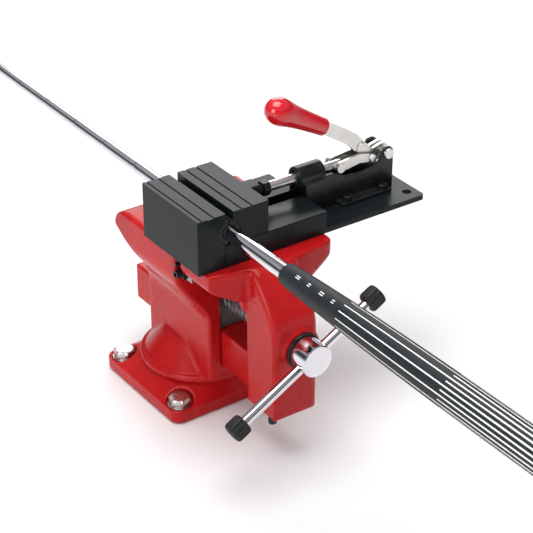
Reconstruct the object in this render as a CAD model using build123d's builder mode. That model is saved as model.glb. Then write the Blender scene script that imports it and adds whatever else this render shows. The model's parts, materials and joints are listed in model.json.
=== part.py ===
from build123d import *
from math import cos, radians, sin

import os

os.makedirs("parts", exist_ok=True)

# Golf club regripping station, millimetres, +Z up, origin at the middle of the vise base's underside.
# +X runs along the clamp fixture towards its toggle clamp, +Y along the club towards the bare tip.

# ---------------------------------------------------------------- driving dimensions
# Bench vise
JAW_TOP = 184.7              # top of both jaws above the bench
JAW_HALF = 65.0              # half the jaw width
BASE_X, BASE_Y = 142.0, 129.0
BASE_EDGE = 14.0             # thickness of the base at its edges
TURRET_TOP = 26.0
FLANGE_R = 60.0
BOLT_X, BOLT_Y = 57.0, 50.0  # bench bolt centres
NECK_HALF = 30.0             # half width of the fixed jaw's neck
NECK_FRONT, NECK_REAR = -61.5, 44.0
NECK_FOOT = 34.0             # bottom of the neck, inside the flared skirt
BEAM_HALF = 16.0
BEAM_LOW, BEAM_HIGH = 46.0, 84.0
BEAM_REAR = 92.0
SLIDE_GAP = 0.4              # running clearance of the beam in its guide
ANVIL_ROUND = 18.0           # rounding of the anvil's rear edge
PLATE_Z = 158.0              # lower edge of the hardened jaw plates
JAW_PLATE_T = 8.0
PLATE_HALF = 58.0            # half length of the jaw plates
SCREW_Z = 113.0              # height of the vise screw
SCREW_R = 9.0                # root radius of the vise screw
THREAD_R = 11.0
PITCH = 6.0
NUT_Y = -41.0                # middle of the spindle nut
ARM_FRONT = -164.0           # front face of the moving jaw's arm
ARM_REAR = -116.0
ARM_HALF = 24.5
ARM_X = -4.5                 # middle of the arm, left of the screw
ARM_FOOT = 42.0
HANDLE_Y = -180.0            # plane in which the handle bar lies
HANDLE_TILT = 29.5           # degrees above level, right end up
HANDLE_R = 5.0
HANDLE_HALF = 83.0           # from the bar's middle to a cap's middle
HANDLE_SHIFT = -7.0          # how far the bar is slid from the screw axis at rest
HEAD_R = 15.6
HEAD_FRONT = -189.5
COLLAR_R = 17.5

# Clamp fixture, held in the vise by its keel
FIX_X = -71.5                # left end of the fixture
FIX_Y = -111.0               # front face of the fixture
FIX_Z = 185.0                # underside of the fixture
FIX_DEPTH = 90.6
BLOCK_TOP = 238.0
FIXED_BLOCK_W = 28.8
GAP_W = 8.0                  # opening between the closed blocks
SLIDING_BLOCK_W = 37.1
PLATE_T = 5.3
FIX_LENGTH = 250.6
DECK_TOP = 206.7
DECK_END = 65.9
SLOT_W = 13.6
SLOT_DEPTH = 9.5
MID_Y = FIX_Y + FIX_DEPTH / 2
KEEL_T = 8.0
KEEL_LOW = 158.5
KEEL_HALF = 61.0
PIN_END = 67.5               # how far left the keel's end screw and pin reach
FIXED_FACE = MID_Y + KEEL_T / 2          # gripping face of the fixed jaw plate
MOVING_FACE = MID_Y - KEEL_T / 2 - 0.3   # gripping face of the moving jaw plate

# Push-pull toggle clamp
ROD_Z = 222.5                # height of the plunger
ROD_R = 4.75
PIVOT_X, PIVOT_Z = 159.5, 225.5
PIVOT_R = 2.7
LINK_END_R = 3.9             # rear end of the side links
CRANK_X, CRANK_Z = 146.0, 222.2
PIN_X = 108.5                # plunger pin
NOSE_X0, NOSE_X1 = 62.9, 90.5
CHEEK_IN, CHEEK_OUT = 10.6, 13.8
BRACKET_REAR = 165.5

# Golf club
CLUB_X = FIX_X + FIXED_BLOCK_W + GAP_W / 2
CLUB_Z = 218.5
BUTT_R = 7.62                # 0.600 inch butt
MOUTH_Y = FIX_Y - 85.4
CAP_Y = FIX_Y - 414.0
TIP_Y = FIX_Y + 573.0
STEP_PITCH = 56.4
FIRST_STEP = FIX_Y + 31.1 + STEP_PITCH
TAPE_R = 7.98
LINER_R = 11.5


def finish(part, label):
    """Label a finished piece and write it to its own file."""
    part.label = label
    export_step(part, f"parts/{label}.step")


def hex_radius(across_flats):
    return across_flats / 2 / cos(radians(30))


# ---------------------------------------------------------------- vise: swivel base
BOLT_SPOTS = [(x, y) for x in (-BOLT_X, BOLT_X) for y in (-BOLT_Y, BOLT_Y)]
LOCK_SPOTS = [(47.5, 0.0), (0.0, 47.5)]
SPIGOT_R = 25.0
TEE_MID = 47.5

with BuildPart() as swivel_base:
    with BuildSketch():
        RectangleRounded(BASE_X, BASE_Y, 10)
    extrude(amount=BASE_EDGE)
    with BuildSketch(Plane.XY.offset(BASE_EDGE)):
        RectangleRounded(BASE_X - 3, BASE_Y - 3, 9)
    with BuildSketch(Plane.XY.offset(TURRET_TOP - 1.5)):
        Circle(FLANGE_R - 4)
    loft()
    with BuildSketch(Plane.XY.offset(BASE_EDGE)):
        Circle(FLANGE_R - 4)
    extrude(amount=TURRET_TOP - BASE_EDGE)
    # scooped pockets around the four bench bolts
    with BuildSketch(Plane.XY.offset(BASE_EDGE - 2)):
        with Locations(*BOLT_SPOTS):
            Circle(13)
    extrude(amount=20, mode=Mode.SUBTRACT)
    with Locations(*[(x, y, BASE_EDGE) for x, y in BOLT_SPOTS]):
        Hole(6.6)
    # bore for the swivel spigot and the annular T-slot of the lock bolts
    with BuildSketch(Plane.XY.offset(5)):
        Circle(SPIGOT_R + 0.4)
    extrude(amount=TURRET_TOP, mode=Mode.SUBTRACT)
    with BuildSketch(Plane.XY.offset(8)):
        Circle(TEE_MID + 8.5)
        Circle(TEE_MID - 8.5, mode=Mode.SUBTRACT)
    extrude(amount=10, mode=Mode.SUBTRACT)
    with BuildSketch(Plane.XY.offset(8)):
        Circle(TEE_MID + 4.5)
        Circle(TEE_MID - 4.5, mode=Mode.SUBTRACT)
    extrude(amount=20, mode=Mode.SUBTRACT)
    bottom = swivel_base.edges().group_by(Axis.Z)[0].filter_by(GeomType.LINE)
    chamfer(bottom, 1.5)
finish(swivel_base.part, "swivel_base")

with BuildPart() as bench_washers:
    with BuildSketch(Plane.XY.offset(BASE_EDGE - 2)):
        with Locations(*BOLT_SPOTS):
            Circle(11.5)
            Circle(6.5, mode=Mode.SUBTRACT)
    extrude(amount=2)
finish(bench_washers.part, "bench_washers")

with BuildPart() as bench_bolts:
    with BuildSketch(Plane.XY.offset(0.4)):
        with Locations(*BOLT_SPOTS):
            Circle(6)
    extrude(amount=BASE_EDGE)
    with BuildSketch(Plane.XY.offset(BASE_EDGE)):
        with Locations(*BOLT_SPOTS):
            RegularPolygon(hex_radius(19), 6, rotation=15)
    extrude(amount=7.5)
    chamfer(bench_bolts.edges().group_by(Axis.Z)[-1], 0.9)
finish(bench_bolts.part, "bench_bolts")

# ---------------------------------------------------------------- vise: fixed jaw
PLATE_SCREW_SPOTS = [(x, 171) for x in (-40, 40)]

with BuildPart() as fixed_jaw_body:
    # swivel flange with its spigot, and the flared skirt above it
    with BuildSketch(Plane.XY.offset(TURRET_TOP + 0.4)):
        Circle(FLANGE_R)
    extrude(amount=6, taper=12)
    with BuildSketch(Plane.XY.offset(6)):
        Circle(SPIGOT_R)
    extrude(amount=22)
    with BuildSketch(Plane.XY.offset(31)):
        Circle(FLANGE_R - 4)
    extrude(amount=27, taper=38)
    # neck and head, drawn as seen from the front
    with BuildSketch(Plane.XZ.offset(-NECK_REAR)) as jaw_front_view:
        with BuildLine():
            Polyline(
                (-NECK_HALF, NECK_FOOT), (-NECK_HALF, 104), (-JAW_HALF, 150), (-JAW_HALF, JAW_TOP),
                (JAW_HALF, JAW_TOP), (JAW_HALF, 150), (NECK_HALF, 104), (NECK_HALF, NECK_FOOT), close=True,
            )
        make_face()
        fillet(jaw_front_view.vertices().filter_by_position(Axis.Y, 100, 155), 22)
        fillet(jaw_front_view.vertices().group_by(Axis.Y)[-1], 3)
    extrude(amount=NECK_REAR - NECK_FRONT)
    # rounded rear of the anvil, and horns that thin towards the rear
    with BuildSketch(Plane.YZ.offset(-JAW_HALF - 1)):
        with Locations((NECK_REAR - ANVIL_ROUND, JAW_TOP - ANVIL_ROUND)):
            Rectangle(ANVIL_ROUND + 1, ANVIL_ROUND + 1, align=(Align.MIN, Align.MIN))
            Circle(ANVIL_ROUND, mode=Mode.SUBTRACT)
    extrude(amount=2 * JAW_HALF + 2, mode=Mode.SUBTRACT)
    for side in (-1, 1):
        with BuildSketch(Plane.YZ.offset(side * (NECK_HALF + 3))) as horn_relief:
            with BuildLine():
                Polyline((NECK_REAR + 1, 167), (-4, 138), (-4, 90), (NECK_REAR + 1, 90), close=True)
            make_face()
            fillet(horn_relief.vertices().filter_by_position(Axis.Y, 137, 139), 14)
        extrude(amount=side * JAW_HALF, mode=Mode.SUBTRACT)
    # guide for the beam, with room for the screw above it
    with BuildSketch(Plane.XZ.offset(-NECK_REAR - 1)):
        with Locations((0, (BEAM_LOW + 126) / 2)):
            Rectangle(2 * (BEAM_HALF + SLIDE_GAP), 126 - BEAM_LOW + 2 * SLIDE_GAP)
    extrude(amount=NECK_REAR - NECK_FRONT + 2, mode=Mode.SUBTRACT)
    # seat of the hardened jaw plate
    with BuildSketch(Plane.XY.offset(PLATE_Z)):
        with Locations((0, FIXED_FACE)):
            Rectangle(2 * PLATE_HALF + 0.6, 2 * JAW_PLATE_T)
    extrude(amount=40, mode=Mode.SUBTRACT)
    with BuildSketch(Plane.XZ.offset(-FIXED_FACE)):
        with Locations(*PLATE_SCREW_SPOTS):
            Circle(3)
    extrude(amount=-16, mode=Mode.SUBTRACT)
    with BuildSketch(Plane.XY.offset(120)):
        with Locations((0, NUT_Y)):
            Circle(5)
    extrude(amount=23, mode=Mode.SUBTRACT)
    # spot faces and holes of the two swivel lock bolts
    with BuildSketch(Plane.XY.offset(33)):
        with Locations(*LOCK_SPOTS):
            Circle(9.5)
    extrude(amount=22, mode=Mode.SUBTRACT)
    with Locations(*[(x, y, 33) for x, y in LOCK_SPOTS]):
        Hole(4.3, depth=12)
finish(fixed_jaw_body.part, "fixed_jaw_body")

with BuildPart() as swivel_lock_bolts:
    with BuildSketch(Plane.XY.offset(33)):
        with Locations(*LOCK_SPOTS):
            RegularPolygon(hex_radius(13), 6)
    extrude(amount=6)
    with BuildSketch(Plane.XY.offset(16)):
        with Locations(*LOCK_SPOTS):
            Circle(4)
    extrude(amount=17)
finish(swivel_lock_bolts.part, "swivel_lock_bolts")

with BuildPart() as swivel_lock_nuts:
    with BuildSketch(Plane.XY.offset(10)):
        with Locations(*LOCK_SPOTS):
            Circle(7)
    extrude(amount=6)
finish(swivel_lock_nuts.part, "swivel_lock_nuts")


def jaw_plate(face_y, back_y, label):
    """A hardened jaw plate with a cross-hatched gripping face and two counterbored screw holes."""
    low, high = min(face_y, back_y), max(face_y, back_y)
    face = 1 if face_y > back_y else -1
    with BuildPart() as plate:
        with BuildSketch(Plane.XZ.offset(-high)):
            with Locations((0, (PLATE_Z + JAW_TOP) / 2)):
                Rectangle(2 * PLATE_HALF, JAW_TOP - PLATE_Z)
        extrude(amount=high - low)
        with BuildSketch(Plane.XZ.offset(-face_y)):
            with Locations(*PLATE_SCREW_SPOTS):
                Circle(5.5)
        extrude(amount=5 * face, mode=Mode.SUBTRACT)
        with BuildSketch(Plane.XZ.offset(-face_y)):
            with Locations(*PLATE_SCREW_SPOTS):
                Circle(3.2)
        extrude(amount=JAW_PLATE_T * face, mode=Mode.SUBTRACT)
        with BuildSketch(Plane.XZ.offset(-face_y)):
            for step in range(-9, 10):
                with Locations((step * 6.5, (PLATE_Z + JAW_TOP) / 2)):
                    Rectangle(0.9, 60, rotation=35)
        extrude(amount=0.5 * face, mode=Mode.SUBTRACT)
    finish(plate.part, label)


def plate_screws(face_y, direction, label):
    """Two cap screws that hold a jaw plate, heads below its gripping face."""
    with BuildPart() as screws:
        with BuildSketch(Plane.XZ.offset(-face_y - 0.8 * direction)):
            with Locations(*PLATE_SCREW_SPOTS):
                Circle(5.2)
        extrude(amount=-4 * direction)
        with BuildSketch(Plane.XZ.offset(-face_y - 0.8 * direction)):
            with Locations(*PLATE_SCREW_SPOTS):
                Circle(3)
        extrude(amount=-15 * direction)
        with BuildSketch(Plane.XZ.offset(-face_y - 0.8 * direction)):
            with Locations(*PLATE_SCREW_SPOTS):
                RegularPolygon(hex_radius(5), 6)
        extrude(amount=-2.5 * direction, mode=Mode.SUBTRACT)
    finish(screws.part, label)


jaw_plate(FIXED_FACE, FIXED_FACE + JAW_PLATE_T, "fixed_jaw_plate")
plate_screws(FIXED_FACE, 1, "fixed_plate_screws")

with BuildPart() as spindle_nut:
    with BuildSketch(Plane.XZ.offset(-NUT_Y - 17)):
        with Locations((0, (BEAM_HIGH + 125) / 2 + 1)):
            Rectangle(2 * BEAM_HALF - 1, 125 - BEAM_HIGH - 1)
    extrude(amount=34)
    with BuildSketch(Plane.XZ.offset(-NUT_Y - 18)):
        with Locations((0, SCREW_Z)):
            Circle(THREAD_R + 0.3)
    extrude(amount=36, mode=Mode.SUBTRACT)
    with BuildSketch(Plane.XY.offset(124.5)):
        with Locations((0, NUT_Y)):
            Circle(5)
    extrude(amount=18)
finish(spindle_nut.part, "spindle_nut")

# ---------------------------------------------------------------- vise: moving jaw
HEAD_BACK = MOVING_FACE - JAW_PLATE_T
CHEEK_LENGTH = JAW_PLATE_T - 0.2         # how far the head's cheeks reach beside the jaw plate

with BuildPart() as moving_jaw_head:
    # wide head with a bowed front and horns that taper underneath
    with BuildSketch(Plane.XZ.offset(-HEAD_BACK - CHEEK_LENGTH)) as head_front_view:
        with BuildLine():
            Polyline(
                (-JAW_HALF, JAW_TOP), (JAW_HALF, JAW_TOP), (JAW_HALF, 167), (ARM_X + ARM_HALF - 1, 140),
                (ARM_X - ARM_HALF + 1, 148), (-JAW_HALF, 168), close=True,
            )
        make_face()
        fillet(head_front_view.vertices().filter_by_position(Axis.Y, 160, 170), 9)
    extrude(amount=70)
    with BuildSketch(Plane.XY.offset(140)):
        with BuildLine():
            Line((JAW_HALF + 2, HEAD_BACK + 15), (JAW_HALF + 2, FIX_Y - 11))
            ThreePointArc((JAW_HALF + 2, FIX_Y - 11), (0, FIX_Y - 17), (-JAW_HALF - 2, FIX_Y - 5))
            Line((-JAW_HALF - 2, FIX_Y - 5), (-JAW_HALF - 2, HEAD_BACK + 15))
            Line((-JAW_HALF - 2, HEAD_BACK + 15), (JAW_HALF + 2, HEAD_BACK + 15))
        make_face()
    extrude(amount=60, mode=Mode.INTERSECT)
    # seat of the hardened jaw plate, between two cheeks that cover its ends
    with BuildSketch(Plane.XY.offset(PLATE_Z)):
        with Locations((0, HEAD_BACK)):
            Rectangle(2 * PLATE_HALF + 0.6, 40, align=(Align.CENTER, Align.MIN))
    extrude(amount=40, mode=Mode.SUBTRACT)
    fillet(moving_jaw_head.edges().filter_by(Axis.Z).group_by(Axis.Y)[0], 8)

with BuildPart() as moving_jaw_body:
    # arched arm, drawn from the side
    with BuildSketch(Plane.YZ.offset(ARM_X - ARM_HALF)):
        with BuildLine():
            Line((HEAD_BACK, 150), (HEAD_BACK, JAW_TOP))
            Line((HEAD_BACK, JAW_TOP), (FIX_Y - 12, JAW_TOP))
            Spline(
                (FIX_Y - 12, JAW_TOP), (FIX_Y - 26, 177), (FIX_Y - 45, 154), (ARM_FRONT, 120),
                tangents=((-1, -0.1), (0, -1)),
            )
            Line((ARM_FRONT, 120), (ARM_FRONT, ARM_FOOT + 4))
            Line((ARM_FRONT, ARM_FOOT + 4), (ARM_FRONT + 5, ARM_FOOT))
            Line((ARM_FRONT + 5, ARM_FOOT), (ARM_REAR, ARM_FOOT))
            Line((ARM_REAR, ARM_FOOT), (ARM_REAR, 124))
            ThreePointArc((ARM_REAR, 124), (ARM_REAR + 7.6, 142.4), (ARM_REAR + 26, 150))
            Line((ARM_REAR + 26, 150), (HEAD_BACK, 150))
        make_face()
    extrude(amount=2 * ARM_HALF)
    fillet(moving_jaw_body.edges().filter_by(Axis.Z).group_by(Axis.Y)[0], 7)
    add(moving_jaw_head.part)
    # round boss that carries the screw, and its bore
    with BuildSketch(Plane.XZ.offset(-ARM_FRONT - 2)):
        with Locations((0, SCREW_Z)):
            Circle(20.4)
    extrude(amount=4, taper=10)
    with BuildSketch(Plane.XZ.offset(-ARM_REAR - 1)):
        with Locations((0, SCREW_Z)):
            Circle(THREAD_R + 0.4)
    extrude(amount=60, mode=Mode.SUBTRACT)
    # threaded holes for the jaw plate screws
    with BuildSketch(Plane.XZ.offset(-HEAD_BACK)):
        with Locations(*PLATE_SCREW_SPOTS):
            Circle(3)
    extrude(amount=8, mode=Mode.SUBTRACT)
    # beam that slides in the fixed jaw, solid but for a lightening groove underneath
    with BuildSketch(Plane.XZ.offset(-BEAM_REAR), mode=Mode.PRIVATE) as beam_section:
        with Locations((0, (BEAM_LOW + BEAM_HIGH) / 2)):
            Rectangle(2 * BEAM_HALF, BEAM_HIGH - BEAM_LOW)
        with Locations((0, BEAM_LOW)):
            Rectangle(BEAM_HALF, 20, mode=Mode.SUBTRACT)
    extrude(beam_section.sketch, amount=BEAM_REAR - ARM_REAR + 2)
finish(moving_jaw_body.part, "moving_jaw_body")
jaw_plate(MOVING_FACE, HEAD_BACK, "moving_jaw_plate")
plate_screws(MOVING_FACE, -1, "moving_plate_screws")

with BuildPart() as arm_foot:
    with BuildSketch(Plane.XY.offset(ARM_FOOT - 6)):
        with Locations((ARM_X - ARM_HALF + 7, ARM_FRONT + 12)):
            Circle(4)
    extrude(amount=6)
finish(arm_foot.part, "arm_foot")

# ---------------------------------------------------------------- vise: screw and handle
SCREW_AXIS = Axis((0, 0, SCREW_Z), (0, 1, 0))
THREAD_START, THREAD_TURNS = -110.0, 25

with BuildPart() as main_screw:
    with BuildSketch(Plane.YZ):
        with BuildLine():
            points = [(HEAD_FRONT + 19, SCREW_Z), (HEAD_FRONT + 19, SCREW_Z + THREAD_R)]
            points.append((THREAD_START, SCREW_Z + THREAD_R))
            for turn in range(THREAD_TURNS):
                y = THREAD_START + turn * PITCH
                points.append((y + 1, SCREW_Z + SCREW_R))
                points.append((y + 3, SCREW_Z + SCREW_R))
                points.append((y + 4, SCREW_Z + THREAD_R))
                points.append((y + PITCH, SCREW_Z + THREAD_R))
            points.append((y + PITCH + 3, SCREW_Z + SCREW_R))
            points.append((y + PITCH + 3, SCREW_Z))
            Polyline(*points, close=True)
        make_face()
    revolve(axis=SCREW_AXIS)
finish(main_screw.part, "main_screw")

TILT = Vector(cos(radians(HANDLE_TILT)), 0, sin(radians(HANDLE_TILT)))
HANDLE_ORIGIN = Vector(0, HANDLE_Y, SCREW_Z)
HANDLE_PLANE = Plane(origin=HANDLE_ORIGIN + TILT * HANDLE_SHIFT, x_dir=(0, 1, 0), z_dir=TILT)

with BuildPart() as screw_head:
    with BuildSketch(Plane.XZ.offset(-HEAD_FRONT)):
        with Locations((0, SCREW_Z)):
            Circle(HEAD_R)
    extrude(amount=-19)
    chamfer(screw_head.edges().group_by(Axis.Y)[0], 1)
    with BuildSketch(Plane(origin=HANDLE_ORIGIN - TILT * 20, x_dir=(0, 1, 0), z_dir=TILT)):
        Circle(HANDLE_R + 0.08)
    extrude(amount=40, mode=Mode.SUBTRACT)
finish(screw_head.part, "screw_head")

with BuildPart() as thrust_collar:
    with BuildSketch(Plane.XZ.offset(-ARM_FRONT + 2.4)):
        with Locations((0, SCREW_Z)):
            Circle(COLLAR_R)
            Circle(THREAD_R + 0.02, mode=Mode.SUBTRACT)
    extrude(amount=3.2)
    chamfer(thrust_collar.edges().group_by(Axis.Y)[0].sort_by(SortBy.RADIUS)[-1], 0.8)
finish(thrust_collar.part, "thrust_collar")

with BuildPart() as screw_retaining_ring:
    with BuildSketch(Plane.XZ.offset(-ARM_REAR - 3.4)):
        with Locations((0, SCREW_Z)):
            Circle(14)
            Circle(THREAD_R + 0.02, mode=Mode.SUBTRACT)
    extrude(amount=3)
finish(screw_retaining_ring.part, "screw_retaining_ring")

with BuildPart() as handle_bar:
    with BuildSketch(HANDLE_PLANE.offset(-HANDLE_HALF - 4)):
        Circle(HANDLE_R)
    extrude(amount=2 * HANDLE_HALF + 8)
finish(handle_bar.part, "handle_bar")

with BuildPart() as handle_caps:
    for side in (-1, 1):
        with BuildSketch(HANDLE_PLANE.offset(side * HANDLE_HALF - 8)) as cap_section:
            Circle(10)
            with PolarLocations(10.2, 10):
                Circle(0.9, mode=Mode.SUBTRACT)
        extrude(amount=16)
    chamfer(handle_caps.edges().filter_by(GeomType.CIRCLE).filter_by(lambda edge: edge.length > 3), 0.8)
    with BuildSketch(HANDLE_PLANE.offset(-HANDLE_HALF - 4)):
        Circle(HANDLE_R)
    extrude(amount=2 * HANDLE_HALF + 8, mode=Mode.SUBTRACT)
finish(handle_caps.part, "handle_caps")

# ---------------------------------------------------------------- clamp fixture: plate, deck and blocks
BLOCK_X1 = FIX_X + FIXED_BLOCK_W
SLIDE_X0 = BLOCK_X1 + GAP_W
SLIDE_X1 = SLIDE_X0 + SLIDING_BLOCK_W
PLATE_END = FIX_X + FIX_LENGTH
PLATE_TOP = FIX_Z + PLATE_T
SCREW_ROWS = [(x, y) for x in (-32, 8, 56) for y in (FIX_Y + 12, FIX_Y + FIX_DEPTH - 12)]
CLAMP_SCREWS = [(x, MID_Y + y) for x in (109.5, 150) for y in (-18.3, 18.3)]
CLUB_AXIS = Axis((CLUB_X, 0, CLUB_Z), (0, 1, 0))

with BuildPart() as fixture_plate:
    with BuildSketch(Plane.XY.offset(FIX_Z)):
        with Locations((BLOCK_X1, MID_Y)):
            Rectangle(PLATE_END - BLOCK_X1, FIX_DEPTH, align=(Align.MIN, Align.CENTER))
    extrude(amount=PLATE_T)
    fillet(fixture_plate.edges().filter_by(Axis.Z).group_by(Axis.X)[-1], 3)
    with Locations(*[(PLATE_END - 10.6, y, PLATE_TOP) for y in (FIX_Y + 13.2, FIX_Y + FIX_DEPTH - 13.2)]):
        Hole(4.3)
    with Locations(*[(x, y, PLATE_TOP) for x, y in CLAMP_SCREWS]):
        Hole(2.55)
    with Locations(*[(x, y, PLATE_TOP) for x, y in SCREW_ROWS]):
        Hole(3.05)
finish(fixture_plate.part, "fixture_plate")

END_SCREW_Z, END_PIN_Z = 164.0, 174.5

with BuildPart() as keel:
    with BuildSketch(Plane.XZ.offset(-MID_Y - KEEL_T / 2)):
        with Locations((0, KEEL_LOW)):
            Rectangle(2 * KEEL_HALF, FIX_Z - KEEL_LOW, align=(Align.CENTER, Align.MIN))
    extrude(amount=KEEL_T)
    with BuildSketch(Plane.YZ.offset(-KEEL_HALF)):
        with Locations((MID_Y, END_SCREW_Z)):
            Circle(2.5)
        with Locations((MID_Y, END_PIN_Z)):
            Circle(1.9)
    extrude(amount=10, mode=Mode.SUBTRACT)
finish(keel.part, "keel")

with BuildPart() as keel_end_screws:
    with BuildSketch(Plane.YZ.offset(-KEEL_HALF)):
        with Locations((MID_Y, END_SCREW_Z)):
            Circle(3.8)
    extrude(amount=KEEL_HALF - PIN_END)
    with BuildSketch(Plane.YZ.offset(-KEEL_HALF)):
        with Locations((MID_Y, END_SCREW_Z)):
            Circle(2.5)
    extrude(amount=9)
    with BuildSketch(Plane.YZ.offset(-PIN_END)):
        with Locations((MID_Y, END_PIN_Z)):
            Circle(1.9)
    extrude(amount=PIN_END - KEEL_HALF + 9)
    with BuildSketch(Plane.YZ.offset(-PIN_END)):
        with Locations((MID_Y, END_SCREW_Z)):
            RegularPolygon(hex_radius(4), 6)
    extrude(amount=2.5, mode=Mode.SUBTRACT)
finish(keel_end_screws.part, "keel_end_screws")

with BuildPart() as slide_deck:
    with BuildSketch(Plane.YZ.offset(BLOCK_X1)):
        with Locations((MID_Y, PLATE_TOP)):
            Rectangle(FIX_DEPTH, DECK_TOP - PLATE_TOP, align=(Align.CENTER, Align.MIN))
        with Locations((MID_Y, DECK_TOP)):
            Rectangle(SLOT_W, 2 * SLOT_DEPTH, mode=Mode.SUBTRACT)
    extrude(amount=DECK_END - BLOCK_X1)
    chamfer(slide_deck.edges().filter_by(Axis.X).group_by(Axis.Z)[-1].sort_by(Axis.Y)[0], 0.8)
    with BuildSketch(Plane.XY.offset(PLATE_TOP)):
        with Locations(*SCREW_ROWS):
            Circle(2.5)
    extrude(amount=10, mode=Mode.SUBTRACT)
finish(slide_deck.part, "slide_deck")

with BuildPart() as deck_screws:
    with BuildSketch(Plane.XY.offset(FIX_Z + 0.3)):
        with Locations(*SCREW_ROWS):
            Circle(3)
    extrude(amount=3)
    with BuildSketch(Plane.XY.offset(FIX_Z + 3.3)):
        with Locations(*SCREW_ROWS):
            Circle(2.5)
    extrude(amount=10)
finish(deck_screws.part, "deck_screws")


def clamp_block(x0, x1, z0, kerfs, label):
    """A clamp block with saw kerfs along its top and a round seat for its rubber liner."""
    with BuildPart() as block:
        with BuildSketch(Plane.XZ.offset(-FIX_Y - FIX_DEPTH)):
            with Locations((x0, z0)):
                Rectangle(x1 - x0, BLOCK_TOP - z0, align=(Align.MIN, Align.MIN))
            for x, width in kerfs:
                with Locations((x0 + x, BLOCK_TOP)):
                    Rectangle(width, 1.6, mode=Mode.SUBTRACT)
            with Locations((CLUB_X, CLUB_Z)):
                Circle(LINER_R, mode=Mode.SUBTRACT)
        extrude(amount=FIX_DEPTH)
        chamfer(block.edges().filter_by(Axis.Z), 0.7)
    finish(block.part, label)


def liner(side, x_face, label):
    """A rubber half sleeve that lines one block's seat and stands 3 mm proud of its face."""
    with BuildPart() as sleeve:
        with BuildSketch(Plane.XZ.offset(-FIX_Y - FIX_DEPTH + 0.8)):
            with Locations((CLUB_X, CLUB_Z)):
                Circle(LINER_R)
                Circle(GRIPPED_R + 0.3, mode=Mode.SUBTRACT)
            with Locations((x_face, CLUB_Z)):
                Rectangle(40, 40, align=(Align.MIN if side < 0 else Align.MAX, Align.CENTER), mode=Mode.SUBTRACT)
        extrude(amount=FIX_DEPTH - 1.6)
    finish(sleeve.part, label)


GRIPPED_R = 6.9
clamp_block(FIX_X, BLOCK_X1, FIX_Z, [(4.5, 1.3), (14.0, 6.5)], "fixed_block")
clamp_block(SLIDE_X0, SLIDE_X1, DECK_TOP + 0.2, [(8.5, 2.0), (19.5, 1.6)], "sliding_block")
liner(-1, BLOCK_X1 + 3, "fixed_liner")
liner(1, SLIDE_X0 - 3, "sliding_liner")

with BuildPart() as slide_key:
    with BuildSketch(Plane.YZ.offset(SLIDE_X0 + 4)):
        with Locations((MID_Y, DECK_TOP - SLOT_DEPTH + 0.5)):
            Rectangle(SLOT_W - 0.8, SLOT_DEPTH - 0.3, align=(Align.CENTER, Align.MIN))
    extrude(amount=SLIDING_BLOCK_W - 8)
finish(slide_key.part, "slide_key")

with BuildPart() as drive_lug:
    with BuildSketch(Plane.YZ.offset(SLIDE_X1)):
        with Locations((MID_Y, ROD_Z)):
            RectangleRounded(17, 18, 2)
    extrude(amount=17)
    with BuildSketch(Plane.YZ.offset(SLIDE_X1 + 3)):
        with Locations((MID_Y, ROD_Z)):
            Circle(4)
    extrude(amount=20, mode=Mode.SUBTRACT)
finish(drive_lug.part, "drive_lug")

# ---------------------------------------------------------------- toggle clamp
PLUNGER_X0 = 32.5

with BuildPart() as clamp_spindle:
    with BuildSketch(Plane.YZ.offset(SLIDE_X1 + 3)):
        with Locations((MID_Y, ROD_Z)):
            Circle(4)
    extrude(amount=PLUNGER_X0 - SLIDE_X1 + 6)
finish(clamp_spindle.part, "clamp_spindle")

with BuildPart() as jam_nut:
    with BuildSketch(Plane.YZ.offset(PLUNGER_X0 - 7)):
        with Locations((MID_Y, ROD_Z)):
            RegularPolygon(hex_radius(13), 6)
            Circle(4, mode=Mode.SUBTRACT)
    extrude(amount=7)
finish(jam_nut.part, "jam_nut")

with BuildPart() as plunger:
    with BuildSketch(Plane.YZ.offset(PLUNGER_X0)):
        with Locations((MID_Y, ROD_Z)):
            Circle(ROD_R)
    extrude(amount=PIN_X + 5.5 - PLUNGER_X0)
    chamfer(plunger.edges().group_by(Axis.X)[-1], 0.6)
    with BuildSketch(Plane.YZ.offset(PLUNGER_X0)):
        with Locations((MID_Y, ROD_Z)):
            Circle(4)
    extrude(amount=10, mode=Mode.SUBTRACT)
    with BuildSketch(Plane.XZ.offset(-MID_Y - 10)):
        with Locations((PIN_X, ROD_Z)):
            Circle(3)
    extrude(amount=20, mode=Mode.SUBTRACT)
finish(plunger.part, "plunger")


def cross_pin(x, z, shank_r, shank_half, head_r, head_half, label):
    """A rivet across the clamp: a shank through the middle and a round head at each end."""
    with BuildPart() as pin:
        with BuildSketch(Plane.XZ.offset(-MID_Y - shank_half)):
            with Locations((x, z)):
                Circle(shank_r)
        extrude(amount=2 * shank_half)
        for side in (-1, 1):
            with BuildSketch(Plane.XZ.offset(-MID_Y + side * shank_half)):
                with Locations((x, z)):
                    Circle(head_r)
            extrude(amount=side * (head_half - shank_half), taper=8)
    finish(pin.part, label)


cross_pin(PIN_X, ROD_Z, 3, 7.9, 4.9, 10.2, "plunger_pin")
cross_pin(PIVOT_X, PIVOT_Z, PIVOT_R, CHEEK_OUT + 0.1, 5.2, CHEEK_OUT + 2.6, "lever_pivot_pin")

with BuildPart() as crank_pin:
    with BuildSketch(Plane.XZ.offset(-MID_Y - 4.8)):
        with Locations((CRANK_X, CRANK_Z)):
            Circle(3)
    extrude(amount=9.6)
finish(crank_pin.part, "crank_pin")

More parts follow.
